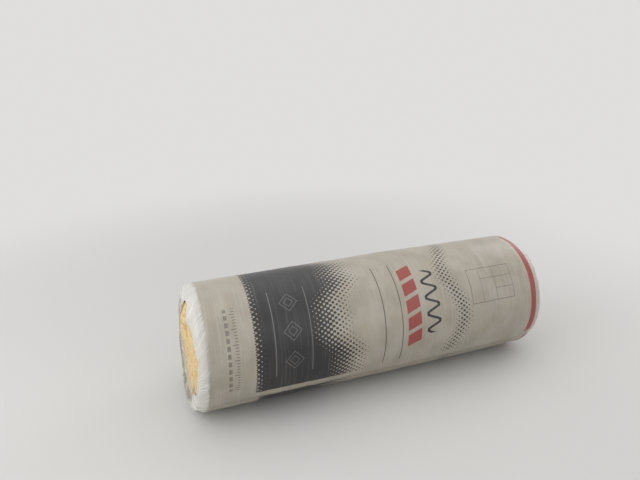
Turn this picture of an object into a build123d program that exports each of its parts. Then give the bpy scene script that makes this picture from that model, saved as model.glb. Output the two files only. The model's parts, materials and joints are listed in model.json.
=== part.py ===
"""A roll of glass wool insulation in its printed plastic wrapper, lying on its side.

Two pieces: the mat, wound up into one roll with a small eye down its middle,
and the film wound round it.  The film laps over itself in a seam along the
roll, turns over both shoulders, and leaves a wavy mouth at each end, where the
turns of the mat show.

Millimetres.  X runs along the roll, and Z is up.  The origin is on the floor,
under the middle of the roll.  An angle about the roll is 0 at its top and
turns towards the front, -Y.
"""

import os
from math import cos, degrees, pi, radians, sin

from build123d import *

# The roll as it is sold, measured over the film.
roll_diameter = 400.0
roll_length = 1220.0
shoulder_radius = 42.0

# The wrapper. Its thickness is two windings of film and the air caught in them.
film_thickness = 0.5
film_clearance = 0.3
seam_lap = 70.0
seam_angle = 124.5

# The mouth at each end: how wide it opens, how far off the axis it lies, and
# towards which angle. The waves of their edges, by their count round the edge.
left_mouth_radius = 142.0
left_mouth_offset = 34.0
left_mouth_side = 70.0
right_mouth_radius = 116.0
right_mouth_offset = 12.0
right_mouth_side = -60.0
mouth_waves = {3: 3.0, 6: 6.0, 7: 2.0}
mouth_wave_start = 17.0
mouth_points = 48

# The mat: what one turn takes up along the radius, and the groove between turns.
turn_pitch = 38.0
eye_diameter = 30.0
groove_width = 34.0
groove_floor = 3.0
groove_depth = 13.0
groove_flare = 2.0

# What follows from them.
roll_radius = roll_diameter / 2
mat_inset = film_thickness + film_clearance
lap_angle = degrees(seam_lap / roll_radius)
roll_axis = Axis((0, 0, roll_radius), (1, 0, 0))


def axial_plane(angle=0.0):
    """A plane that holds the roll's axis, turned about it by an angle from the top."""
    along = Vector(1, 0, 0)
    out = Vector(0, -sin(radians(angle)), cos(radians(angle)))
    return Plane(origin=(0, 0, roll_radius), x_dir=along, z_dir=along.cross(out))


def outline(depth):
    """Half of the roll's outline, out from its axis, at a depth under the film's face."""
    with BuildSketch() as half:
        Rectangle(
            roll_length - 2 * depth,
            roll_radius - depth,
            align=(Align.CENTER, Align.MIN),
        )
        fillet(half.vertices().group_by(Axis.Y)[-1], shoulder_radius - depth)
    return half.sketch


def mouth_edge(mouth_radius, offset, side):
    """Points round a mouth's wavy edge, as (towards the front, up) from the axis."""
    points = []
    for step in range(mouth_points):
        angle = 2 * pi * step / mouth_points
        radius = mouth_radius + offset * cos(angle - radians(side))
        for count, height in mouth_waves.items():
            radius += height * cos(count * (angle - radians(mouth_wave_start)))
        points.append((radius * sin(angle), radius * cos(angle)))
    return points


def mouth_cutter(end, edge):
    """A bar with a mouth's outline, into the left (-1) or right (1) end from outside.

    It goes deeper than the film, but not through a shoulder."""
    outside = end * (roll_length + shoulder_radius) / 2
    face = Plane(origin=(outside, 0, roll_radius), x_dir=(0, -1, 0), z_dir=(-1, 0, 0))
    with BuildPart() as cutter:
        with BuildSketch(face):
            with BuildLine():
                Spline(edge, periodic=True)
            make_face()
        extrude(amount=end * shoulder_radius)
    return cutter.part


# The spiral groove between the turns, as half turns whose centres change sides,
# so that each runs on from the last. It starts at the eye, and leaves the
# outermost turn whole. The other end has the same spiral, seen from behind.
mat_end = roll_length / 2 - mat_inset
first_radius = eye_diameter / 2 + turn_pitch / 4
last_radius = roll_radius - mat_inset - turn_pitch
half_turns = int((last_radius - first_radius) / (turn_pitch / 2)) + 1
edge_width = (groove_width - groove_floor) / 2
edge_height = groove_depth + groove_flare

with BuildPart() as turn_groove:
    for k in range(half_turns):
        out = Vector(0, 1, 0) if k % 2 == 0 else Vector(0, -1, 0)
        centre = Vector(mat_end, 0, roll_radius) - out * (turn_pitch / 4)
        radius = first_radius + k * turn_pitch / 2
        face_side = Vector(1, 0, 0)
        with BuildSketch(Plane(origin=centre, x_dir=out, z_dir=out.cross(face_side))):
            with Locations((radius, -groove_depth)):
                Rectangle(groove_width, edge_height, align=(Align.CENTER, Align.MIN))
            with Locations(
                (radius - groove_width / 2, -groove_depth),
                (radius + groove_width / 2, -groove_depth),
            ):
                Ellipse(edge_width, edge_height, mode=Mode.SUBTRACT)
        revolve(axis=Axis(centre, (1, 0, 0)), revolution_arc=180)
    mirror(about=Plane.YZ)

# The mat, turned from the roll's outline less the eye.
with BuildPart() as wool_roll:
    with BuildSketch(axial_plane()):
        add(outline(mat_inset))
        Rectangle(roll_length, eye_diameter, mode=Mode.SUBTRACT)
    revolve(axis=roll_axis)
    add(turn_groove.part, mode=Mode.SUBTRACT)

left_edge = mouth_edge(left_mouth_radius, left_mouth_offset, left_mouth_side)
right_edge = mouth_edge(right_mouth_radius, right_mouth_offset, right_mouth_side)
left_mouth = mouth_cutter(-1, left_edge)
right_mouth = mouth_cutter(1, right_edge)

# The film: one winding all the way round, and the lap that the next one makes.
with BuildPart() as film_wrapper:
    with BuildSketch(axial_plane()):
        add(outline(0))
        add(outline(film_thickness), mode=Mode.SUBTRACT)
    revolve(axis=roll_axis)
    with BuildSketch(axial_plane(seam_angle - lap_angle)):
        add(outline(-film_thickness))
        add(outline(0), mode=Mode.SUBTRACT)
    revolve(axis=roll_axis, revolution_arc=lap_angle)
    add(left_mouth, mode=Mode.SUBTRACT)
    add(right_mouth, mode=Mode.SUBTRACT)

wool_roll.part.label = "wool_roll"
film_wrapper.part.label = "film_wrapper"

os.makedirs("parts", exist_ok=True)
export_step(wool_roll.part, "parts/wool_roll.step")
export_step(film_wrapper.part, "parts/film_wrapper.step")
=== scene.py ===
"""The looks of a wrapped roll of glass wool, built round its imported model.

Metres, in the model's own frame: X runs along the roll and Z is up. An angle
round the roll is 0 at its top and turns towards the front, -Y. A place on an
end's face is given as (towards the front, up) from the roll's axis. Side -1 is
the roll's left end, and side 1 its right one.
"""

import json
from collections import namedtuple
from math import pi, radians

import bpy
import numpy as np
from mathutils import Matrix, Vector

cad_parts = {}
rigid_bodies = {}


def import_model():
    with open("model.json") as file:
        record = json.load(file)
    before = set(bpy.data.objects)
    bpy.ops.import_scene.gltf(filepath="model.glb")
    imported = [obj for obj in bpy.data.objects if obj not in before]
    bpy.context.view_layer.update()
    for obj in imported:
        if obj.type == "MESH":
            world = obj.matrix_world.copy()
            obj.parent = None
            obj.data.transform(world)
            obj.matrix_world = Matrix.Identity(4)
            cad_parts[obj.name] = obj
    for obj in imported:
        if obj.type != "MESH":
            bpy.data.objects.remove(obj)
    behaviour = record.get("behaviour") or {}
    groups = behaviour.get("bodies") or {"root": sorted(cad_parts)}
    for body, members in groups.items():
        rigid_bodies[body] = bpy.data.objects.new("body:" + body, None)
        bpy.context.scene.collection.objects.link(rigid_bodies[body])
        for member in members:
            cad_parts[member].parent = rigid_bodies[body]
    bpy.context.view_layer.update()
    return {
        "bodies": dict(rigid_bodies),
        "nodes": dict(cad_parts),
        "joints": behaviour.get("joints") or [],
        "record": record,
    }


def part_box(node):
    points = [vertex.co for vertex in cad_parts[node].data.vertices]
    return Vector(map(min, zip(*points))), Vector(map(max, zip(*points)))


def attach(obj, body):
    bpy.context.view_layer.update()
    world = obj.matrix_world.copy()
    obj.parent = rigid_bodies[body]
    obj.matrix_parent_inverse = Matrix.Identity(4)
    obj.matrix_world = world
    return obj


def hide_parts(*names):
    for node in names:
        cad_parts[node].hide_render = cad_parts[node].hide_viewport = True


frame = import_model()

sides = (-1, 1)
millimetres = 1000.0

# Seeded unevenness: its seed, its most waves round the roll, its shortest wave along it,
# and how many waves are added up.
Waves = namedtuple("Waves", "seed turns length count", defaults=[28])

# The roll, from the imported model. The film lies this far outside the mat.
mat_inset = 0.0008
mat_low, mat_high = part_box("wool_roll")
axis_height = (mat_high.z + mat_low.z) / 2
roll_radius = (mat_high.z - mat_low.z) / 2 + mat_inset
half_length = (mat_high.x - mat_low.x) / 2 + mat_inset

# The soft form of the ends: a sharper left shoulder and a rounder right one, how far
# the faces are crowned, how far the left one leans, and where the shoulders start.
shoulder = {-1: 0.028, 1: 0.060}
crown = {-1: 0.005, 1: 0.015}
lean = {-1: 0.009, 1: 0.0}
shoulder_start = {side: half_length - shoulder[side] for side in sides}
flat_radius = {side: roll_radius - shoulder[side] for side in sides}

# Low on the left end's back the film sags off the wool: where, how widely, how far it
# puffs out over the end, and how far it is drawn in round the shoulder.
sag_angle = radians(165)
sag_spread = radians(38)
sag_puff = 0.011
sag_tuck = 0.007

# A place on the left end that is pushed out, how wide it is, and by how much.
push_place = (0.040, 0.125)
push_spread = 0.068
push_height = 0.0155

# The body's bulge, and how softly the floor holds the roll's underside up.
barrel = 0.0038
floor_gap = 0.0004
floor_softness = 0.0008

# The film's seam: its free edge, the tuck under it, and the lap behind it, with shares
# of the lap's angle at which it is lifted in full, and from which its edge hangs loose.
seam_angle = radians(124.5)
tuck_angle = radians(2.0)
lap_angle = radians(20.0)
lap_full = 0.3
loose_from = 0.22
lap_lift = 0.0006
film_thickness = 0.0005

# Columns of film round the body. The last three fold the free edge under. For those,
# the first column and the edge: the column, its angle from the edge, and its shares of
# the lap's lift, of the loose edge's, and of the film's thickness that it lies lower by.
body_columns = 192
edge_column = body_columns - 3
seam_columns = (
    (0, -2 * pi - tuck_angle, 0, 0, 0),
    (edge_column, 0, 1, 1, 0),
    (edge_column + 1, -0.0004, 1, 1, 1),
    (edge_column + 2, -0.4 * tuck_angle, 0.6, 0.35, 0.5),
    (body_columns, -tuck_angle, 0.08, 0, 0),
)

# How far the free edge hangs and flutters, and the puckers beside it: their height and
# pitch, how they stray and fade, and how far they reach above and below the seam.
edge_hang = 0.0007
edge_flutter = 0.0009
flutter_waves = Waves(11, 0, 0.09)
pucker_height = 0.0011
pucker_pitch = 0.019
pucker_stray = 0.35
pucker_stray_waves = Waves(12, 0, 0.05)
pucker_fade_waves = Waves(13, 0, 0.12)
pucker_above = 0.09
pucker_below = 0.14
pucker_start = 0.05

# The body's unevenness as heights and waves, its shallow dents, and how far and over
# what length the film is drawn in before the shoulders.
body_waves = (
    (0.0011, Waves(21, 3, 0.35)),
    (0.0004, Waves(22, 9, 0.10)),
    (0.00016, Waves(23, 4, 0.024)),
)
dent_depth = 0.0007
dent_waves = Waves(24, 2, 0.05)
draw_depth = 0.0012
draw_length = 0.09

# Where the film grows clear at each end, from the shoulder's start on, and how clear.
# The inner skin, behind the outer one, is clearer.
clear_from = {-1: (0.048, 0.080), 1: (0.085, 0.125)}
clear_share = {-1: 0.85, 1: 0.35}
inner_clearness = 2.0

# The mesh of the film: how much finer its columns are at the ends, and rings along the
# body. An end has rings on the body, over the shoulder, and on to the lip.
fine_share = 4
body_rings = 120
run_out = 0.024
approach_run = 1.4 * run_out
end_rings = {-1: (6, 20, 20), 1: (4, 14, 12)}
path_steps = 160
first_rings_path = 0.62
first_rings_arc = 1.45

# The film's inner skin: rings at distances back from the lip, and then fewer columns
# and rings, which lie deeper.
lip_back = (0, 0.004, 0.009)
middle_back = (0.011,)
inner_reach = 0.014
inner_rings = (1, 9, 7)
inner_depth = 0.0012
inner_body_depth = 1.6 * inner_depth
inner_body_rings = 9

# The gathers in the film at each end: their number, how far they twist round the roll,
# how much more than a flat ring of film they hold, and how far they stray.
pleats = {-1: 138, 1: 110}
pleat_twist = {-1: 0.25, 1: -0.14}
pleat_slack = {-1: 0.035, 1: 0.008}
pleat_stray = {-1: 1.3, 1: 0.8}
pleat_stray_waves = Waves(31, 30, 0.14)

# How high the gathers stand: their strength's mean, swing and limits, how sharp and how
# high a ridge is for its width, and where they grow.
strength_mean = 0.70
strength_swing = 0.56
strength_limits = (0.08, 1.7)
strength_waves = Waves(33, 44, 0.10)
ridge_sharpness = 1.6
ridge_rise = 1.3
least_width = 0.22
grow_from = (-0.016, 0.012)
grow_stray = 0.006
grow_waves = Waves(35, 60, 1)
twist_end = 0.045
blend_end = 0.05

# The film's billows over the ends, and the curl along its lips.
billow = 0.0014
least_billow = -0.9
billow_waves = Waves(41, 9, 0.12)
curl_height = 0.0022
curl_length = 0.008
curl_waves = Waves(43, 22, 0.2)

# The mouths' edges on the end faces. The left one runs from the top towards the front,
# and its near part starts and turns by these angles. The right one is a circle with
# lobes: their number, height and angle.
left_lip = [
    (0.041, 0.180), (0.069, 0.172), (0.088, 0.141), (0.113, 0.131), (0.137, 0.115),
    (0.163, 0.079), (0.180, 0.042), (0.182, -0.003), (0.172, -0.040), (0.150, -0.074),
    (0.118, -0.084), (0.088, -0.066), (0.062, -0.034), (0.038, 0.010), (0.026, 0.060),
    (0.030, 0.112), (0.034, 0.150),
]
left_lip_start = radians(13)
left_lip_turn = radians(111)
left_lip_sway = 0.0017
left_lip_waves = Waves(5, 36, 1)
right_lip_radius = 0.116
right_lip_lobes = ((1, 0.012, radians(60)), (3, 0.003, -0.9), (6, 0.005, -1.8))
right_lip_sway = 0.0015
right_lip_waves = Waves(4, 20, 1)

# The mat's turns, its eye, how far it keeps inside the film over the ends and shoulders,
# and how far it swells where it is bare. It is bare past these distances from the lip.
turn_pitch = 0.038
half_turns = 8
eye_radius = 0.015
eye_depth = 0.016
eye_slope = (0.35 * eye_radius, 1.5 * eye_radius)
wool_gap = 0.0034
body_gap = 0.0028
wool_bulge = 0.009
swell_bare = (0.001, 0.028)

# The groove between two turns: its depth, where a turn starts to fall into it, how far a
# turn is crowned, where round the spiral it begins and ends, and its share under film.
groove_bottom = 0.0100
groove_reach = 0.0125
groove_width = 0.0115
turn_crown = 0.0110
groove_wander = 0.0016
groove_waves = Waves(51, 9, 1)
groove_begins = (-1.2, 0.2)
groove_ends = (half_turns * pi - 0.9, half_turns * pi)
groove_covered = 0.45
groove_bare = (-0.012, 0.02)

# The wool's unevenness: thin layers along the turns, lumps, and tufts, how far from the
# axis these grow, and their share under the film.
strata = 0.0005
strata_waves = Waves(61, 60, 0.0045, 44)
strata_grow = (0.01, 0.03)
lumps = 0.0012
lump_waves = Waves(62, 12, 0.05)
tufts = 0.0008
tuft_waves = Waves(63, 150, 0.006, 50)
tufts_grow = (0.01, 0.06)
rough_covered = 0.08
rough_bare = (-0.004, 0.004)

# The mesh of the mat: columns round it, the steps between its rings over the flat of an
# end and over the shoulder, and rings in the eye, as shares of its radius and depths.
wool_columns = 420
flat_ring_step = 0.0017
shoulder_ring_step = 0.0022
first_ring_share = 0.4
eye_rings = ((0.02, 0.032), (0.35, 0.03))
map_radius = 0.11

# The print, which runs a little askew, and comes twice round the roll up to a blank
# margin. Its measures are in millimetres along the film from its middle and round it
# from its top. A reach is from where to where round the film.
circumference = 2 * pi * roll_radius * millimetres
repeat = circumference / 2
seam_edge = seam_angle * roll_radius * millimetres
blank_margin = 28.0
print_middle = 0.2
print_skew = 0.012
print_sway = 0.006

band_start = -439.0
band_edge = (-440.0, -403.0)
band_fade = (-245.0, -85.0)
dot_pitch_along = 20.0
dot_pitch_round = repeat / 40
ribbon_middle = 246.0
ribbon_widths = (4.0, 44.0)

# Pairs of long rules: both places along the film, and their reach.
dark_rules = ((-20.6, -18.2), (39.6, 42.0), (56.0, 392.0))
light_rules = ((-377.2, -374.6), (-263.4, -261.0), (84.0, 352.0))
wave_length = 52.0
wave_swing = 21.0
wave_middle = 156.0
wave_width = 4.2
wave_reach = (101.0, 311.0)

# The red ring, the row of slanted bars, and the nested diamonds.
red_ring = (545.0, 568.0)
bar_slant = 0.35
bar_pitch = 54.0
bar_length = (1.0, 41.0)
bar_reach = (100.0, 372.0)
bar_width = (61.0, 110.0)
diamond_cell = 88.0
diamond_middle = (-319.0, 42.0)
diamond_outer = (27.0, 29.2)
diamond_inner = (13.0, 15.0)
diamond_reach = (86.0, 350.0)

# The fine grey scale: each mark's pitch, and where it is round the film and along it.
tick_marks = (9.0, (0.5, 3.1, 0.3), (-494.0, -484.0))
long_ticks = (45.0, (0.5, 3.1, 0.3), (-500.0, -484.0))
square_marks = (22.5, (3.0, 17.0, 0.4), (-518.0, -508.0))
scale_reach = (118.0, 372.0)

# The empty table and the rules between its fields.
table_middle = (390.0, 188.0)
table_half = (84.0, 57.5)
column_rules = ((349.0, 350.6), (404.0, 405.6))
row_rules = ((167.2, 168.8), (205.2, 206.8))

# The film's colours: its milky ground with a warmer tint, set darker as painted shade, its
# stretch streaks and fine glints painted lighter as sheen, dust, the gathers' hollows and
# ridges as painted shade and highlight, its clear part, and a painted sheen over the streaks.
# The milky ground is the film's own tone, set darker to carry painted shade over the body.
milk_dark = (0.345, 0.31, 0.25)
milk_light = (0.425, 0.39, 0.33)
milk_warm = (0.42, 0.36, 0.27)
# Stretch streaks painted lighter as sheen, and fine painted glints along them.
stretch_sheen = (0.55, 0.525, 0.47)
fine_glint = (0.66, 0.645, 0.60)
dust_grey = (0.26, 0.235, 0.20)
# The gathers' white: darker in their hollows as painted shade, lighter on their ridges as painted
# highlight.
shaded_hollow_white = (0.59, 0.575, 0.53)
lit_ridge_white = (0.80, 0.79, 0.76)
clear_tint = (0.80, 0.77, 0.67)
# Painted sheen: a grey that lightens film and print along the stretch streaks.
sheen_grey = (0.50, 0.49, 0.48)

# The inks.
charcoal_dark = (0.011, 0.011, 0.015)
charcoal_light = (0.020, 0.019, 0.022)
open_grey = (0.30, 0.29, 0.285)
fine_grey = (0.085, 0.08, 0.078)
red_ink = (0.31, 0.030, 0.030)

# The wool's colours.
layer_dark = (0.80, 0.575, 0.265)
layer_light = (0.87, 0.69, 0.385)
clump_brown = (0.62, 0.40, 0.15)
parting_brown = (0.44, 0.26, 0.09)
fluff_brown = (0.50, 0.315, 0.115)
fibre_light = (0.93, 0.80, 0.52)
# Painted shade, deepest in the grooves between the turns.
groove_shade_brown = (0.34, 0.19, 0.055)

# The floor, how far from the roll it runs into the pale backdrop, and the lamps: their
# names, places, sizes and powers.
floor_half = 30
floor_colour = (0.64, 0.635, 0.62, 1)
floor_fade = (0.8, 2.8)
backdrop = (0.74, 0.735, 0.725, 1)
world_strength = 0.45
lamps = (
    ("key", (-2.9, -0.7, 1.8), 2.8, 46),
    ("fill", (1.4, -3.0, 2.2), 3.0, 20),
    ("side", (3.0, 0.9, 1.6), 2.4, 26),
    ("top", (-0.3, 0.5, 3.4), 5.0, 50),
)

# The camera: its place, its turns in degrees, and its focal length in pixels.
camera_place = (-0.7905, -1.636, 1.135)
camera_heading = 20.97
camera_pitch = 20.03
camera_roll = -0.63
focal_pixels = 584.29
photo_width = 640


def add_object(name, data):
    """A new object in the scene."""
    made = bpy.data.objects.new(name, data)
    bpy.context.scene.collection.objects.link(made)
    return made


def smooth(value, low, high):
    """0 below low, 1 above high, and an S-curve between."""
    share = np.clip((value - low) / (high - low), 0, 1)
    return share * share * (3 - 2 * share)


def bell(value, spread):
    """1 at 0, falling to 0 both ways."""
    return np.exp(-((value / spread) ** 2))


def ripples(kind, angle, along, side=0):
    """Unevenness of about -1 to 1. A side of the roll has waves of its own."""
    rng = np.random.default_rng(kind.seed + side)
    total = 0
    for _ in range(kind.count):
        waves = rng.integers(-kind.turns, kind.turns + 1)
        pace = rng.uniform(-1, 1) * 2 * pi / kind.length
        total = total + np.cos(waves * angle + pace * along + rng.uniform(0, 2 * pi))
    return total / np.sqrt(kind.count)


def ridges(phase, sharpness):
    """Ridges of height 1, one for each whole step of the phase."""
    return (0.5 + 0.5 * np.cos(2 * pi * phase)) ** sharpness


def on_face(radius, angle):
    """The place on a face at a radius and an angle."""
    return np.stack([radius * np.sin(angle), radius * np.cos(angle)], -1)


def angle_of(place):
    """The angle of places on a face."""
    return np.arctan2(place[..., 0], place[..., 1])


def turned_by(place, angle):
    """Places on a face, moved round the roll by an angle."""
    forward, up = place[..., 0], place[..., 1]
    cosine, sine = np.cos(angle), np.sin(angle)
    return np.stack([forward * cosine + up * sine, up * cosine - forward * sine], -1)


def closed_curve(points, share):
    """Places at shares of a smooth closed curve's length, by Catmull-Rom between its points."""
    knots = np.array(points)
    lengths = np.linalg.norm(np.roll(knots, -1, 0) - knots, axis=1)
    starts = np.concatenate([[0], np.cumsum(lengths)])
    travelled = (share % 1) * starts[-1]
    piece = np.clip(np.searchsorted(starts, travelled, side="right") - 1, 0, len(knots) - 1)
    t = ((travelled - starts[piece]) / lengths[piece])[:, None]
    before, here, ahead, beyond = (knots[(piece + step) % len(knots)] for step in (-1, 0, 1, 2))
    return 0.5 * (
        2 * here
        + (ahead - before) * t
        + (2 * before - 5 * here + 4 * ahead - beyond) * t**2
        + (3 * here - before - 3 * ahead + beyond) * t**3
    )


def left_lip_place(angle):
    """Where the film's left edge lies, for a column of film that starts at an angle.

    The near part of the edge faces its own columns; the rest draws the others together."""
    steps = 720
    fine = closed_curve(left_lip, np.linspace(0, 1, steps, endpoint=False))
    fine_angle = np.unwrap(angle_of(fine)) - left_lip_start
    rising = fine_angle[:np.argmax(fine_angle) + 1]
    start = np.argmin(np.abs(rising))
    near_end = np.argmin(np.abs(rising - left_lip_turn))
    turned = (angle - left_lip_start) % (2 * pi)
    near = np.arange(start, near_end + 1)
    near_share = np.interp(turned, rising[near], near / steps)
    far = (turned - left_lip_turn) / (2 * pi - left_lip_turn)
    far_share = near_end / steps + (1 + start / steps - near_end / steps) * far
    place = closed_curve(left_lip, np.where(turned < left_lip_turn, near_share, far_share))
    outward = place - np.mean(left_lip, axis=0)
    outward = outward / np.linalg.norm(outward, axis=-1)[..., None]
    return place + outward * (left_lip_sway * ripples(left_lip_waves, angle, 0))[..., None]


def right_lip_place(angle):
    """Where the film's right edge lies: a wavy round mouth."""
    radius = right_lip_radius
    for lobes, height, start in right_lip_lobes:
        radius = radius + height * np.cos(lobes * angle + start)
    return on_face(radius + right_lip_sway * ripples(right_lip_waves, angle, 0), angle)


lip_place = {-1: left_lip_place, 1: right_lip_place}


def over_shoulder(radius, side):
    """How far over its shoulder an end has come at a radius: 0 on the flat, 1 at the body."""
    return np.clip((radius - flat_radius[side]) / shoulder[side], 0, 1)


def face_crown(radius, side):
    """How much further the middle of an end's face stands out than its rim."""
    return crown[side] * (1 - np.clip(radius / flat_radius[side], 0, 1) ** 4)


def face_height(radius, side):
    """How far an end's face stands out from where its shoulder starts."""
    arc = np.sqrt(1 - over_shoulder(radius, side) ** 2)
    return shoulder[side] * arc + face_crown(radius, side)


def low_back(angle):
    """1 low on the roll's back side, where the left end sags, falling to 0 round it."""
    return bell(np.mod(angle, 2 * pi) - sag_angle, sag_spread)


def to_space(side, place, height):
    """A point over an end's face in the model's frame; height is out of the shoulder's start."""
    if side < 0:
        rise = np.clip(height / shoulder[side], 0, 1)
        tuck = sag_tuck * low_back(angle_of(place)) * np.sin(pi * rise**2)
        place = place * (1 - tuck / roll_radius)[..., None]
        apart = np.linalg.norm(place - np.array(push_place), axis=-1)
        height = height + push_height * bell(apart, push_spread) * smooth(height, 0, shoulder[side])
    height = height - lean[side] * place[..., 1] / roll_radius * smooth(height, 0, shoulder[side])
    x = side * (shoulder_start[side] + height)
    return np.stack([x, -place[..., 0], axis_height + place[..., 1]], -1)


def settle(points):
    """The same points where the floor holds the roll's underside up."""
    deep = (points[..., 2] - floor_gap) / floor_softness
    points[..., 2] = floor_gap + floor_softness * np.logaddexp(0, deep)
    return points


def column_facts(columns):
    """Of numbered columns of film: the unwound angle, and shares of three lifts.

    Those are the lap's, the loose edge's, and how far the fold lies under the edge."""
    knots, *rows = zip(*seam_columns)
    turned, fold_lap, fold_loose, under = (np.interp(columns, knots, row) for row in rows)
    lap = smooth(turned, -lap_angle, -lap_full * lap_angle)
    loose = smooth(turned, -loose_from * lap_angle, 0) ** 2
    folded = columns > edge_column
    lap = np.where(folded, fold_lap, lap)
    loose = np.where(folded, fold_loose, loose)
    return seam_angle + 2 * pi + turned, lap, loose, under


def seam_lift(columns, along):
    """How far columns of film are lifted at the seam, at places along the roll."""
    angle, lap, loose, under = column_facts(columns)
    hang = edge_hang + edge_flutter * np.abs(ripples(flutter_waves, 0, along))
    above = seam_angle + 2 * pi - angle
    below = angle - seam_angle
    pucker = ridges(along / pucker_pitch + pucker_stray * ripples(pucker_stray_waves, 0, along), 2)
    pucker = pucker * np.clip(0.5 + 0.6 * ripples(pucker_fade_waves, 0, along), 0, 1)
    near = bell(above, pucker_above) * (1 - loose)
    near = near + bell(below, pucker_below) * smooth(below, tuck_angle, tuck_angle + pucker_start)
    return lap_lift * lap + hang * loose - film_thickness * under + pucker_height * pucker * near


def edge_lift(columns):
    """How far the seam's lap keeps clear of the film under it, over the ends."""
    _, lap, _, under = column_facts(columns)
    return 2 * lap_lift * lap - film_thickness * under


def body_relief(columns, along):
    """How far columns of film stand out from the roll's radius, at places along it."""
    angle = column_facts(columns)[0]
    relief = barrel * (1 - (along / half_length) ** 2)
    for height, waves in body_waves:
        relief = relief + height * ripples(waves, angle, along)
    relief = relief - dent_depth * smooth(ripples(dent_waves, angle, along), 0.5, 1.4)
    for side in sides:
        drawn = smooth(side * along, shoulder_start[side] - draw_length, shoulder_start[side])
        relief = relief - draw_depth * drawn
    return relief + seam_lift(columns, along)


def body_surface(columns, along, depth=0.0):
    """A ring of film over the roll's body, in space."""
    angle = column_facts(columns)[0]
    radius = roll_radius + body_relief(columns, along) + depth
    x = np.full(len(columns), along)
    return settle(np.stack([x, -radius * np.sin(angle), axis_height + radius * np.cos(angle)], -1))


def end_path(side, angle):
    """How columns of film run from near the body's end, over the shoulder, to the lip.

    Returns where they start and end on the face, the path's steps, from -1 through 0 at
    the shoulder's start to 1 at the lip, and how far past that start each step is."""
    twist = pleat_twist[side]
    start = on_face(roll_radius, angle)
    lip = turned_by(lip_place[side](angle + twist), -twist)
    steps = np.concatenate([[-1], 1 - np.cos(np.linspace(0, pi / 2, path_steps))])
    path = start + np.maximum(steps, 0)[:, None, None] * (lip - start)
    height = face_height(np.linalg.norm(path, axis=-1), side)
    height = height + np.minimum(steps, 0)[:, None] * run_out
    hop = np.sqrt((np.diff(path, axis=0) ** 2).sum(-1) + np.diff(height, axis=0) ** 2)
    travelled = np.concatenate([np.zeros((1, len(angle))), np.cumsum(hop, 0)]) - run_out
    return start, lip, steps, travelled


def spread_rings(side, counts, reach, whole):
    """Rings from near the body's end as far as a reach, as distances past the shoulder's start.

    The counts are those of end_rings."""
    over = np.minimum(first_rings_path * whole, first_rings_arc * shoulder[side])
    before, first, second = (np.linspace(0, 1, count + 1)[:, None] for count in counts)
    on_body = (before[:-1] - 1) * run_out + 0 * whole
    return np.concatenate([on_body, first[:-1] * over, over + second * (reach - over)])


def film_width(side, angle, share):
    """How wide a column of film is, against its width on the body, at shares of its path."""
    ahead = angle + pleat_twist[side]
    half = 0.01
    lip_width = (lip_place[side](ahead + half) - lip_place[side](ahead - half)) / (2 * half)
    body_width = roll_radius * np.stack([np.cos(angle), -np.sin(angle)], -1)
    width = (1 - share)[..., None] * body_width + share[..., None] * lip_width
    return np.clip(np.linalg.norm(width, axis=-1) / roll_radius, least_width, 1)


def end_surface(side, columns, depth, counts=None, back=None, pleated=True):
    """The film from near the body's end over a shoulder to its lip, in space.

    Its rings are counts, for spread_rings, or distances back from the lip. Returns their
    points, how far past the shoulder's start they are, and how high the gathers stand."""
    angle = column_facts(columns)[0]
    start, lip, steps, travelled = end_path(side, angle)
    whole = travelled[-1]
    if back is None:
        gone = spread_rings(side, counts, whole if pleated else whole - inner_reach, whole)
    else:
        gone = whole - np.array(back)[:, None]
    at = np.array([np.interp(g, t, steps) for g, t in zip(gone.T, travelled.T)]).T
    share = np.maximum(at, 0)
    place = start + share[..., None] * (lip - start)
    radius = np.linalg.norm(place, axis=-1)
    inside = over_shoulder(radius, side)
    around = angle[None, :]

    swing = strength_swing * ripples(strength_waves, around, gone, side)
    strength = np.clip(strength_mean + swing, *strength_limits)
    stray = pleat_stray[side] * ripples(pleat_stray_waves, around, gone, side)
    pleat = ridges(pleats[side] * around / (2 * pi) + stray, ridge_sharpness)
    drawn = film_width(side, angle, share)
    wave = 2 * pi * roll_radius / pleats[side] * drawn
    size = ridge_rise * wave / pi * np.sqrt(1 / drawn - 1 + pleat_slack[side]) * strength
    grow = smooth(gone + grow_stray * ripples(grow_waves, around, 0, side), *grow_from)

    column = np.broadcast_to(columns, gone.shape)
    off_body = smooth(gone, 0, blend_end)
    along = side * (shoulder_start[side] + gone)
    bump = depth + body_relief(column, along) * (1 - off_body) + edge_lift(column) * off_body
    billows = np.maximum(ripples(billow_waves, around, gone, side), least_billow)
    bump = bump + billow * billows * grow
    if pleated:
        bump = bump + size * pleat * grow
        curl = curl_height * smooth(gone - whole, -curl_length, 0)
        bump = bump + curl * (0.6 + 0.5 * ripples(curl_waves, around, gone, side))
    if side < 0:
        bump = bump + sag_puff * low_back(around) * np.sin(pi * np.clip(gone / whole, 0, 1)) ** 2
    place = place * (1 + bump * inside / radius)[..., None]
    place = turned_by(place, pleat_twist[side] * smooth(gone, -run_out, twist_end))
    height = face_height(radius, side) + np.minimum(at, 0) * run_out
    height = height + bump * np.sqrt(1 - inside**2)
    return settle(to_space(side, place, height)), gone, np.clip(pleat * grow * strength, 0, 1)


# A ring of a mesh: its first point, how many it has, and their places on the mesh's map,
# with the first again at the end.
Ring = namedtuple("Ring", "first count flat")


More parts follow.
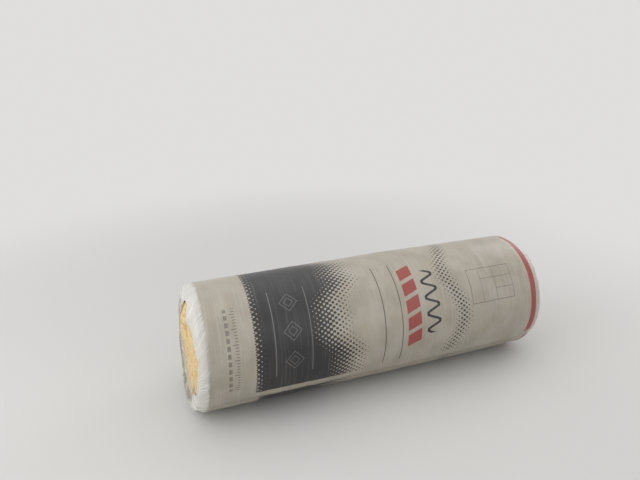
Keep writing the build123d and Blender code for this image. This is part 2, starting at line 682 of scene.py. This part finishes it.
class Shell:
    """A mesh in the making: rings of points, joined by faces."""

    def __init__(self):
        self.points = []
        self.faces = []
        self.corners = []
        self.facts = []

    def ring(self, points, flat, facts):
        """Adds a ring of points, their places on the map, and facts about them."""
        first = sum(len(ring) for ring in self.points)
        self.points.append(points)
        self.facts.append(np.stack([np.broadcast_to(fact, len(points)) for fact in facts], -1))
        return Ring(first, len(points), flat)

    def add(self, corners, flipped):
        """Adds faces, with each corner given as a ring and columns of it."""
        points = np.stack([ring.first + column % ring.count for ring, column in corners], -1)
        flats = np.stack([ring.flat[column] for ring, column in corners], 1)
        if not flipped:
            points = points[:, ::-1]
            flats = flats[:, ::-1]
        self.faces += points.tolist()
        self.corners.append(flats.reshape(-1, 2))

    def join(self, a, b, flipped=False):
        """Adds the faces between two rings, where one may have twice the other's columns."""
        if a.count < b.count:
            self.join(b, a, not flipped)
        elif a.count == b.count:
            here = np.arange(a.count)
            self.add([(a, here), (a, here + 1), (b, here + 1), (b, here)], flipped)
        else:
            even = np.arange(0, a.count, 2)
            here = even // 2
            self.add([(a, even), (a, even + 1), (b, here)], flipped)
            self.add([(a, even + 1), (b, here + 1), (b, here)], flipped)
            self.add([(a, even + 1), (a, even + 2), (b, here + 1)], flipped)

    def cap(self, ring, flipped=False):
        """Closes a ring with one face."""
        self.add([(ring, np.array([column])) for column in range(ring.count)], flipped)

    def build(self, name, fact_names, map_name):
        """Makes the mesh's object, with its map and with its facts as attributes."""
        mesh = bpy.data.meshes.new(name)
        mesh.from_pydata(np.concatenate(self.points).tolist(), [], self.faces)
        flats = np.concatenate(self.corners)
        mesh.uv_layers.new(name=map_name).uv.foreach_set("vector", flats.astype(np.float32).ravel())
        facts = np.concatenate(self.facts)
        for column, fact in enumerate(fact_names):
            values = mesh.attributes.new(fact, "FLOAT", "POINT")
            values.data.foreach_set("value", facts[:, column].astype(np.float32))
        mesh.shade_smooth()
        mesh.validate()
        return add_object(name, mesh)


def print_shift(around):
    """How far the print has run askew along the roll, at a place round it."""
    turned = around - print_middle
    return print_skew * turned + print_sway * np.sin(turned / roll_radius)


def film_flat(columns, along):
    """A ring's places on the flat film, for its print, with the first again at the end."""
    closed = np.append(columns, body_columns)
    around = (column_facts(closed)[0] - 2 * pi) * roll_radius
    along = np.broadcast_to(along, len(columns))
    return np.stack([np.append(along, along[0]) + print_shift(around), around], -1)


def make_film():
    """The film: an outer skin, folded over at its lips into a thinner inner one."""
    shell = Shell()
    coarse = np.arange(body_columns)
    middle = np.arange(body_columns * 2) / 2
    fine = np.arange(body_columns * fine_share) / fine_share

    def body_ring(columns, x, depth=0.0):
        gone = max(side * x - shoulder_start[side] for side in sides)
        facts = (millimetres * gone, 0.0, 0.0)
        return shell.ring(body_surface(columns, x, depth), film_flat(columns, x), facts)

    def end_ring_list(side, columns, depth=0.0, clearness=1.0, **rings):
        made = []
        for points, gone, ridge in zip(*end_surface(side, columns, depth, **rings)):
            clear = smooth(gone, *clear_from[side]) * clear_share[side] * clearness
            flat = film_flat(columns, side * (shoulder_start[side] + gone))
            made.append(shell.ring(points, flat, (millimetres * gone, ridge, clear)))
        return made

    def inner_end(side):
        near_lip = end_ring_list(side, fine, -film_thickness, inner_clearness, back=lip_back)
        plain = {"depth": -inner_depth, "clearness": inner_clearness, "pleated": False}
        past_lip = end_ring_list(side, middle, back=middle_back, **plain)
        deep = end_ring_list(side, coarse, counts=inner_rings, **plain)
        return [*near_lip, *past_lip, *deep[::-1]]

    body_ends = [side * (shoulder_start[side] - 2 * run_out) for side in sides]
    outer = {side: end_ring_list(side, fine, counts=end_rings[side]) for side in sides}
    body = [body_ring(coarse, x) for x in np.linspace(*body_ends, body_rings)]
    approach = {side: body_ring(middle, side * (shoulder_start[side] - approach_run)) for side in sides}
    inner = {side: inner_end(side) for side in sides}
    inner_places = np.linspace(*body_ends, inner_body_rings)
    inner_body = [body_ring(coarse, x, -inner_body_depth) for x in inner_places]
    outside = [*outer[-1][::-1], approach[-1], *body, approach[1], *outer[1]]
    loop = [*outside, *inner[1], *inner_body[::-1], *inner[-1][::-1]]
    for earlier, later in zip(loop, loop[1:] + loop[:1]):
        shell.join(later, earlier)

    film = shell.build("film", ("gone", "ridge", "clear"), "print")
    film.data.materials.append(film_material())
    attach(film, "root")
    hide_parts("film_wrapper")


def spiral_place(place):
    """How far places on a face are round the mat's spiral, and how far across a turn."""
    radius = np.linalg.norm(place, axis=-1)
    angle = (angle_of(place) + pi / 2) % (2 * pi)
    turns = (radius - eye_radius) / turn_pitch - angle / (2 * pi)
    whole = np.floor(turns)
    return angle + 2 * pi * whole, (turns - whole) * turn_pitch


def groove_depth(place):
    """How deep the groove between the turns is, at places on a face."""
    turned, across = spiral_place(place)
    wander = groove_wander * ripples(groove_waves, turned, 0 * turned)
    apart = np.abs((across + wander + turn_pitch / 2) % turn_pitch - turn_pitch / 2)
    wall = np.clip((groove_reach - apart) / groove_width, 0, 1)
    depth = groove_bottom - turn_crown * np.sqrt(1 - wall**2)
    groove_turned = np.where(across > turn_pitch / 2, turned + 2 * pi, turned)
    ends = 1 - smooth(groove_turned, *groove_ends)
    return np.maximum(depth, 0) * ends * smooth(turned, *groove_begins)


def lip_distance(side, place):
    """How far places lie inside the mouth's edge; below 0 outside it."""
    rim = lip_place[side](np.linspace(0, 2 * pi, 360, endpoint=False))
    nearest = np.full(place.shape[:-1], np.inf)
    crossings = np.zeros(place.shape[:-1], int)
    forward, up = place[..., 0], place[..., 1]
    for a, b in zip(rim, np.roll(rim, -1, 0)):
        d = b - a
        t = np.clip(((place - a) @ d) / max(d @ d, 1e-12), 0, 1)
        gap = np.linalg.norm(place - a - t[..., None] * d, axis=-1)
        nearest = np.minimum(nearest, gap)
        if d[1]:
            spans = (a[1] > up) != (b[1] > up)
            crossings += spans & (forward < d[0] * (up - a[1]) / d[1] + a[0])
    return np.where(crossings % 2 == 1, nearest, -nearest)


def wool_relief(side, place, around, radius):
    """How far the wool stands out over an end, and how deep its grooves are."""
    opening = lip_distance(side, place)
    bare = smooth(opening, *groove_bare)
    deep = groove_depth(place) * (groove_covered + (1 - groove_covered) * bare)
    turned, across = spiral_place(place)
    rough = strata * ripples(strata_waves, turned, across) * smooth(radius, *strata_grow)
    rough = rough + lumps * ripples(lump_waves, around, radius)
    rough = rough + tufts * ripples(tuft_waves, around, radius) * smooth(radius, *tufts_grow)
    rough = rough * (rough_covered + (1 - rough_covered) * smooth(opening, *rough_bare))
    swell = wool_bulge * smooth(opening, *swell_bare)
    eye = eye_depth * (1 - smooth(radius, *eye_slope))
    return swell - deep + rough - eye, deep


def wool_end(shell, side):
    """The rings of one end of the mat, from the bottom of its eye to its body."""
    angle = np.linspace(0, 2 * pi, wool_columns, endpoint=False)
    flat = np.zeros((wool_columns + 1, 2))
    rings = []
    for share, depth in eye_rings:
        place = on_face(share * eye_radius, angle)
        points = to_space(side, place, np.full(wool_columns, shoulder[side] - depth))
        rings.append(shell.ring(points, flat, (1.0,)))

    arc_radius = shoulder[side] - wool_gap
    edge = flat_radius[side]
    flat_count = int((edge - eye_radius) / flat_ring_step)
    arc = np.linspace(0, pi / 2, int(arc_radius * pi / 2 / shoulder_ring_step))[1:]
    flat_radii = np.linspace(first_ring_share * eye_radius, edge, flat_count)
    radii = np.concatenate([flat_radii, edge + arc_radius * np.sin(arc)])
    fall = np.concatenate([np.zeros(flat_count), arc_radius * (1 - np.cos(arc))])
    around, radius = np.meshgrid(angle, radii)
    place = on_face(radius, around)
    relief, deep = wool_relief(side, place, around, radius)
    tilt = np.clip((radius - edge) / arc_radius, 0, 1)
    relief = relief - body_gap * tilt**2
    grown = place * (1 + (relief * tilt / radius)[..., None])
    height = arc_radius - fall[:, None] + relief * np.sqrt(1 - tilt**2)
    points = to_space(side, grown, height + face_crown(radius, side))
    for ring_points, ring_deep in zip(points, deep):
        rings.append(shell.ring(ring_points, flat, (np.clip(ring_deep / groove_bottom, 0, 1),)))
    return rings


def make_wool():
    """The wound mat, with a spiral of crowned turns on each end."""
    shell = Shell()
    left, right = (wool_end(shell, side) for side in sides)
    sequence = left + right[::-1]
    for a, b in zip(sequence, sequence[1:]):
        shell.join(b, a)
    shell.cap(left[0])
    shell.cap(right[0], flipped=True)
    wool = shell.build("wool", ("depth",), "turns")
    map_turns(wool.data)
    wool.data.materials.append(wool_material())
    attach(wool, "root")
    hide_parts("wool_roll")


def map_turns(mesh):
    """Lays the wool's map along its spiral, so that fibres run with the turns."""
    places = np.empty(len(mesh.vertices) * 3)
    mesh.vertices.foreach_get("co", places)
    places = places.reshape(-1, 3)
    flat = np.stack([-places[:, 1], places[:, 2] - axis_height], -1)
    corner = np.empty(len(mesh.loops), int)
    mesh.loops.foreach_get("vertex_index", corner)
    totals = np.empty(len(mesh.polygons), int)
    mesh.polygons.foreach_get("loop_total", totals)
    face = np.repeat(np.arange(len(totals)), totals)
    centre = np.stack([np.bincount(face, flat[corner, k]) for k in (0, 1)], -1) / totals[:, None]
    turned = spiral_place(centre)[0]
    radius = np.linalg.norm(flat, axis=-1)
    swing = angle_of(flat)[corner] + pi / 2
    nearest = swing + 2 * pi * np.round((turned[face] - swing) / (2 * pi))
    depth = radius[corner] - eye_radius - turn_pitch * nearest / (2 * pi)
    spiral = np.stack([nearest * map_radius, depth], -1)
    mesh.uv_layers["turns"].uv.foreach_set("vector", spiral.astype(np.float32).ravel())


class Number:
    """A number in a material, so that arithmetic on it adds Math nodes."""

    def __init__(self, tree, socket):
        self.tree = tree
        self.socket = socket

    def math(self, operation, *others):
        node = self.tree.nodes.new("ShaderNodeMath")
        node.operation = operation
        for socket, value in zip(node.inputs, (self, *others)):
            if isinstance(value, Number):
                self.tree.links.new(value.socket, socket)
            else:
                socket.default_value = value
        return Number(self.tree, node.outputs[0])

    def __add__(self, other):
        return self.math("ADD", other)

    def __sub__(self, other):
        return self.math("SUBTRACT", other)

    def __mul__(self, other):
        return self.math("MULTIPLY", other)

    def __rsub__(self, other):
        return (self * -1.0) + other

    def __abs__(self):
        return self.math("ABSOLUTE")

    def either(self, other):
        return self.math("MAXIMUM", other)

    def sine(self, length, start=0.0):
        return (self * (2 * pi / length) + start).math("SINE")

    def wrap(self, low, high):
        return self.math("WRAP", high, low)

    def ramp(self, low, high, kind="SMOOTHSTEP"):
        """0 at low and 1 at high, clamped beyond them."""
        node = self.tree.nodes.new("ShaderNodeMapRange")
        node.interpolation_type = kind
        self.tree.links.new(self.socket, node.inputs["Value"])
        node.inputs["From Min"].default_value = low
        node.inputs["From Max"].default_value = high
        return Number(self.tree, node.outputs["Result"])

    def between(self, low, high, edge=0.5):
        """1 from low to high, with soft edges."""
        return self.ramp(low - edge, low + edge) * (1 - self.ramp(high - edge, high + edge))


def new_material(name):
    material = bpy.data.materials.new(name)
    material.use_nodes = True
    tree = material.node_tree
    return material, tree, tree.nodes["Principled BSDF"]


def read_map(tree, name):
    node = tree.nodes.new("ShaderNodeUVMap")
    node.uv_map = name
    split = tree.nodes.new("ShaderNodeSeparateXYZ")
    tree.links.new(node.outputs["UV"], split.inputs[0])
    return Number(tree, split.outputs["X"]), Number(tree, split.outputs["Y"])


def read_fact(tree, name):
    node = tree.nodes.new("ShaderNodeAttribute")
    node.attribute_name = name
    return Number(tree, node.outputs["Fac"])


def noise(x, y, scale_x, scale_y, detail, roughness, z=0.0):
    """Noise over a map, with its own scale each way."""
    tree = x.tree
    combine = tree.nodes.new("ShaderNodeCombineXYZ")
    tree.links.new((x * scale_x).socket, combine.inputs[0])
    tree.links.new((y * scale_y).socket, combine.inputs[1])
    combine.inputs[2].default_value = z
    node = tree.nodes.new("ShaderNodeTexNoise")
    node.inputs["Scale"].default_value = 1.0
    node.inputs["Detail"].default_value = detail
    node.inputs["Roughness"].default_value = roughness
    tree.links.new(combine.outputs[0], node.inputs["Vector"])
    return Number(tree, node.outputs["Fac"])


def blend(share, a, b):
    """A colour between a and b, each a colour or a socket."""
    tree = share.tree
    node = tree.nodes.new("ShaderNodeMix")
    node.data_type = "RGBA"
    tree.links.new(share.socket, node.inputs["Factor"])
    for socket, value in ((node.inputs["A"], a), (node.inputs["B"], b)):
        if isinstance(value, tuple):
            socket.default_value = (*value, 1)
        else:
            tree.links.new(value, socket)
    return node.outputs["Result"]


def bump(height, shader, distance, strength):
    """Roughens a shader's surface by a height."""
    tree = height.tree
    node = tree.nodes.new("ShaderNodeBump")
    node.inputs["Distance"].default_value = distance
    node.inputs["Strength"].default_value = strength
    tree.links.new(height.socket, node.inputs["Height"])
    tree.links.new(node.outputs["Normal"], shader.inputs["Normal"])


def long_rules(along, around, first, second, reach):
    """Where two rules run round the film."""
    return along.between(*first).either(along.between(*second)) * around.between(*reach, 1.0)


def repeated(along, around, pitch, length, reach):
    """Where small marks are that repeat round the film."""
    return around.wrap(0.0, pitch).between(*length) * along.between(*reach)


def dark_dots(along, around):
    """Where the charcoal's dots are: a band that fades into them both ways, and a ribbon."""
    wander = around.sine(repeat / 2, 0.6) * 30.0 + around.sine(repeat / 6, 2.0) * 9.0
    fade = 1 - (along - wander).ramp(*band_fade, "LINEAR")
    edge = along.ramp(*band_edge, "LINEAR") * 0.36 + 0.64
    from_ribbon = abs(along - around.sine(repeat / 2, 2.4) * 26.0 - ribbon_middle)
    ribbon = (1 - from_ribbon.ramp(*ribbon_widths, "LINEAR")) * 0.4
    darkness = (fade * edge).either(ribbon)
    screen = along.sine(dot_pitch_along, pi / 2) * around.sine(dot_pitch_round, pi / 2)
    dots = (screen * 0.5 + darkness * 1.14 - 0.57).ramp(-0.035, 0.035)
    teeth = abs(around.wrap(-dot_pitch_round / 4, dot_pitch_round / 4)) * 1.6
    return dots * (along - teeth).ramp(band_start - 0.6, band_start + 0.6)


def dark_print(along, around):
    """Where the charcoal ink is: dots, two rules, and a wave that is thicker on its slopes."""
    slope = abs(around.sine(wave_length, pi / 2)) * 1.5 + 1.0
    from_wave = abs(along - around.sine(wave_length) * wave_swing - wave_middle)
    wave = 1 - (from_wave - slope * wave_width).ramp(-0.6, 0.6)
    wave = wave * around.between(*wave_reach, 1.0)
    return dark_dots(along, around).either(long_rules(along, around, *dark_rules)).either(wave)


def red_print(along, around):
    """Where the red ink is: a ring near the right end, and a row of slanted bars."""
    slanted = around + along * bar_slant
    bars = slanted.wrap(0.0, bar_pitch).between(*bar_length, 0.7) * slanted.between(*bar_reach)
    return along.between(*red_ring, 0.8).either(bars * along.between(*bar_width, 0.7))


def light_print(along, around):
    """Where the charcoal is left open: two long rules and a row of nested diamonds."""
    middle_along, middle_around = diamond_middle
    across = (around - middle_around).wrap(-diamond_cell / 2, diamond_cell / 2)
    apart = abs(along - middle_along) + abs(across)
    shapes = apart.between(*diamond_outer).either(apart.between(*diamond_inner))
    shapes = shapes * around.between(*diamond_reach, 1.0)
    return long_rules(along, around, *light_rules).either(shapes)


def grey_print(along, around):
    """Where the fine grey ink is: a scale of ticks and marks, and a table of empty fields."""
    scale = repeated(along, around, *tick_marks).either(repeated(along, around, *long_ticks))
    scale = scale.either(repeated(along, around, *square_marks) * 0.8)
    scale = scale * around.between(*scale_reach, 1.0)

    across, down = (abs(number - middle) for number, middle in zip((along, around), table_middle))
    wide, high = table_half
    frame = across.between(wide - 1, wide + 1, 0.4) * (1 - down.ramp(high, high + 1))
    ends = down.between(high - 1.1, high + 0.9, 0.4) * (1 - across.ramp(wide, wide + 1))
    fields = along.between(*column_rules[0], 0.3).either(along.between(*column_rules[1], 0.3))
    for row, (column, _) in zip(row_rules, column_rules):
        fields = fields.either(around.between(*row, 0.3) * along.ramp(column, column + 1))
    fields = fields * (1 - across.ramp(wide - 0.5, wide + 0.5))
    fields = fields * (1 - down.ramp(high - 0.5, high + 0.5))
    return scale.either(frame.either(ends)).either(fields)


def film_material():
    """Milky film with its print, stretch lines and glints painted lighter as sheen, white gathers that
    are partly painted light, and clear collars.
    """
    material, tree, shader = new_material("printed_film")
    along, round_all = (number * millimetres for number in read_map(tree, "print"))
    around = round_all.wrap(seam_edge - repeat, seam_edge)
    gone = read_fact(tree, "gone")
    ridge = read_fact(tree, "ridge")
    clear = read_fact(tree, "clear")
    margin = seam_edge - blank_margin
    printed = 1 - round_all.ramp(margin - 0.4, margin + 0.4)

    stretch = noise(along, round_all, 0.16, 0.0035, 3.0, 0.6)
    fine_stretch = noise(along, round_all, 0.55, 0.006, 2.0, 0.5, 3.0)
    cloud = noise(along, round_all, 0.012, 0.010, 3.0, 0.55, 7.0)
    dust = noise(along, round_all, 0.09, 0.09, 4.0, 0.7, 11.0)
    warm = noise(along, round_all, 0.006, 0.007, 2.0, 0.5, 19.0)
    milk = blend(cloud.ramp(0.3, 0.7), milk_dark, milk_light)
    milk = blend(warm.ramp(0.45, 0.7) * 0.5, milk, milk_warm)
    # Stretch streaks painted lighter as sheen, with fine painted glints along them.
    milk = blend(stretch.ramp(0.55, 0.75) * 0.5, milk, stretch_sheen)
    milk = blend(fine_stretch.ramp(0.60, 0.74) * 0.26, milk, fine_glint)
    milk = blend(dust.ramp(0.62, 0.8) * 0.25, milk, dust_grey)

    # The white of the gathers, partly the film's folded layers and partly painted light on the
    # left end, with painted highlight on ridges and painted shade in hollows, and with a toothed
    # edge that starts later on the underside.
    strokes = noise(gone, round_all - gone * 0.7, 0.03, 0.16, 2.0, 0.5, 23.0)
    # Painted highlight on the gathers' ridges and painted shade in their hollows.
    white = blend(ridge * 0.8 + strokes * 0.2, shaded_hollow_white, lit_ridge_white)
    lead = round_all.sine(circumference, pi / 2) * 11.0
    toothed = gone + lead + ridge * 5.0 + strokes.ramp(0.36, 0.66) * 6.0
    # Painted shade: the gathers' white is much fainter over the right end.
    shade_at_right = along.ramp(0.0, 1.0)
    gathered = toothed.ramp(-3.0, 8.0) * (0.95 - shade_at_right * 0.65)
    # Partly painted light: the gathers' white is strongest on the left end.
    milk = blend(gathered, milk, white)
    milk = blend(clear * 0.8, milk, clear_tint)

    colour = blend(grey_print(along, around) * printed * 0.75, milk, fine_grey)
    ink = blend(cloud.ramp(0.35, 0.7), charcoal_dark, charcoal_light)
    colour = blend(dark_print(along, around) * printed * 0.97, colour, ink)
    colour = blend(light_print(along, around) * printed * 0.5, colour, open_grey)
    colour = blend(red_print(along, around) * printed * 0.9, colour, red_ink)
    # Painted sheen: film and print are greyed lighter along the stretch streaks.
    sheen_haze = stretch.ramp(0.54, 0.70) * 0.08 + fine_stretch.ramp(0.58, 0.72) * 0.09
    colour = blend(sheen_haze, colour, sheen_grey)
    tree.links.new(colour, shader.inputs["Base Color"])

    crinkle = noise(gone, round_all, 0.05, 0.30, 4.0, 0.6, 5.0)
    # Painted glints: the clear film turns opaque white where crinkles and ridges would catch the light.
    glint_streak = crinkle.ramp(0.5, 0.75) * 0.22 + ridge.ramp(0.25, 0.9) * 0.34
    opaque = 1 - clear * (0.72 - glint_streak)
    tree.links.new(opaque.socket, shader.inputs["Alpha"])
    gloss = fine_stretch * 0.12 + dust.ramp(0.5, 0.8) * 0.14 + 0.31
    tree.links.new(gloss.socket, shader.inputs["Roughness"])
    shader.inputs["IOR"].default_value = 1.5
    creases = crinkle * (gone.ramp(0.0, 40.0) * 0.5 + 0.12)
    bump(stretch * 0.55 + fine_stretch * 0.25 + creases, shader, 0.0012, 0.6)
    return material


def wool_material():
    """Golden glass wool: thin layers that run with the turns, light fibres, and painted shade in its
    hollows.
    """
    material, tree, shader = new_material("glass_wool")
    turned, across = read_map(tree, "turns")
    depth = read_fact(tree, "depth")
    bent = across + noise(turned, across, 35.0, 60.0, 3.0, 0.6, 8.0) * 0.012
    layers = noise(turned, bent, 34.0, 300.0, 5.0, 0.7)
    parting = abs(noise(turned, bent, 18.0, 150.0, 2.0, 0.5, 14.0) - 0.5)
    fibres = noise(turned, bent, 330.0, 900.0, 5.0, 0.85, 2.0)
    fluff = noise(turned, across, 400.0, 440.0, 5.0, 0.8, 4.0)
    clumps = noise(turned, across, 110.0, 120.0, 3.0, 0.6, 9.0)
    colour = blend(layers.ramp(0.36, 0.66), layer_dark, layer_light)
    colour = blend((1 - clumps.ramp(0.40, 0.54)) * 0.5, colour, clump_brown)
    lines = (1 - parting.ramp(0.003, 0.020)) * fluff.ramp(0.42, 0.54)
    colour = blend(lines * 0.55, colour, parting_brown)
    colour = blend((1 - fluff.ramp(0.36, 0.48)) * 0.5, colour, fluff_brown)
    colour = blend(fibres.ramp(0.52, 0.66) * 0.6, colour, fibre_light)
    # Painted shade in the grooves, by their depth.
    colour = blend(depth.ramp(0.1, 1.0) * 0.65, colour, groove_shade_brown)
    tree.links.new(colour, shader.inputs["Base Color"])
    shader.inputs["Roughness"].default_value = 0.95
    shader.inputs["Specular IOR Level"].default_value = 0.15
    shader.inputs["Sheen Weight"].default_value = 0.25
    shader.inputs["Sheen Roughness"].default_value = 0.6
    relief = layers * 0.12 + fibres * 0.35 + fluff * 0.6 + clumps * 0.3
    bump(relief, shader, 0.0026, 1.0)
    return material


def make_camera():
    """The camera, where the photograph was taken from."""
    heading = Matrix.Rotation(-radians(camera_heading), 4, "Z")
    tilt = Matrix.Rotation(radians(90 - camera_pitch), 4, "X")
    roll = Matrix.Rotation(radians(camera_roll), 4, "Z")
    data = bpy.data.cameras.new("camera")
    data.sensor_width = 36
    data.lens = focal_pixels / photo_width * data.sensor_width
    camera = add_object("camera", data)
    camera.matrix_world = Matrix.Translation(camera_place) @ heading @ tilt @ roll
    bpy.context.scene.camera = camera


def seen_ray(tree):
    """1 for a ray that shows the backdrop: from the camera, or by gloss or clear film."""
    path = tree.nodes.new("ShaderNodeLightPath")
    kinds = ("Is Camera Ray", "Is Glossy Ray", "Is Transmission Ray")
    camera, glossy, through = (Number(tree, path.outputs[kind]) for kind in kinds)
    return camera.either(glossy).either(through)


def mix_shaders(tree, share, first, second, output):
    """Shows the second of two shaders by a share."""
    mix = tree.nodes.new("ShaderNodeMixShader")
    sources = (share.socket, first.outputs[0], second.outputs[0])
    for source, socket in zip(sources, mix.inputs):
        tree.links.new(source, socket)
    tree.links.new(mix.outputs[0], tree.nodes[output].inputs["Surface"])


def make_light():
    """Soft square lamps that face the roll, and an even world."""
    for name, place, size, power in lamps:
        data = bpy.data.lights.new(name, "AREA")
        data.size = size
        data.energy = power
        lamp = add_object(name, data)
        lamp.location = place
        aim = Vector((0, 0, axis_height)) - Vector(place)
        lamp.rotation_euler = aim.to_track_quat("-Z", "Y").to_euler()
    world = bpy.data.worlds.new("world")
    bpy.context.scene.world = world
    world.use_nodes = True
    tree = world.node_tree
    background = tree.nodes["Background"]
    background.inputs["Color"].default_value = (1, 1, 1, 1)
    background.inputs["Strength"].default_value = world_strength
    seen = tree.nodes.new("ShaderNodeBackground")
    seen.inputs["Color"].default_value = backdrop
    mix_shaders(tree, seen_ray(tree), background, seen, "World Output")


def make_floor():
    """A pale level floor that runs into the backdrop."""
    mesh = bpy.data.meshes.new("floor")
    corners = [(x * floor_half, y * floor_half, 0) for x, y in ((-1, -1), (1, -1), (1, 1), (-1, 1))]
    mesh.from_pydata(corners, [], [(0, 1, 2, 3)])
    material, tree, shader = new_material("floor")
    shader.inputs["Base Color"].default_value = floor_colour
    shader.inputs["Roughness"].default_value = 0.85
    place = tree.nodes.new("ShaderNodeNewGeometry")
    reach = tree.nodes.new("ShaderNodeVectorMath")
    reach.operation = "LENGTH"
    tree.links.new(place.outputs["Position"], reach.inputs[0])
    far = Number(tree, reach.outputs["Value"]).ramp(*floor_fade)
    glow = tree.nodes.new("ShaderNodeEmission")
    glow.inputs["Color"].default_value = backdrop
    mix_shaders(tree, far * seen_ray(tree), shader, glow, "Material Output")
    mesh.materials.append(material)
    add_object("floor", mesh)


make_camera()
make_light()
make_floor()
make_wool()
make_film()
bpy.context.scene.view_settings.view_transform = "Standard"
